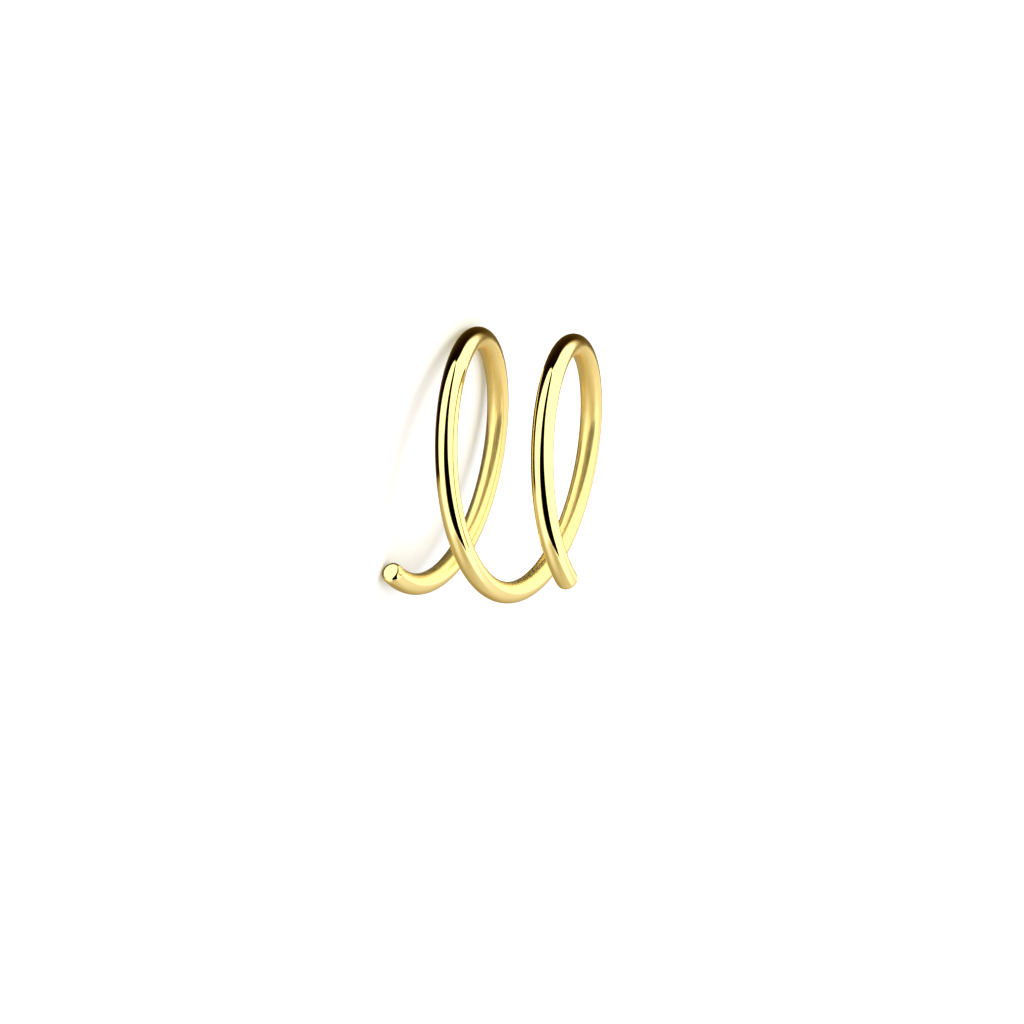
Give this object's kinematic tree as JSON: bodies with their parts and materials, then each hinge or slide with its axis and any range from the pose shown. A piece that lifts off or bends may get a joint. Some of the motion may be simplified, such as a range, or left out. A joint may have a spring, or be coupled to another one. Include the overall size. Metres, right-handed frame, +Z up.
{
  "type": "nose ring",
  "caption": "Nose ring: a round polished gold wire wound into an open spiral hoop with plain cut ends, lying on its side.",
  "frame": {"origin": "on the table under the middle of the ring, which lies on its side as it rests by itself", "axes": "+Z is up, away from the table, about 14 degrees from the coil's axis; -Y is the side seen in the picture; +X is the side where the lower cut end stands out"},
  "size_m": [0.011, 0.0104, 0.0075],
  "materials": {
    "gold": "mirror-polished yellow gold"
  },
  "bodies": {
    "root": {"coiled_wire": "gold"}
  },
  "joints": []
}
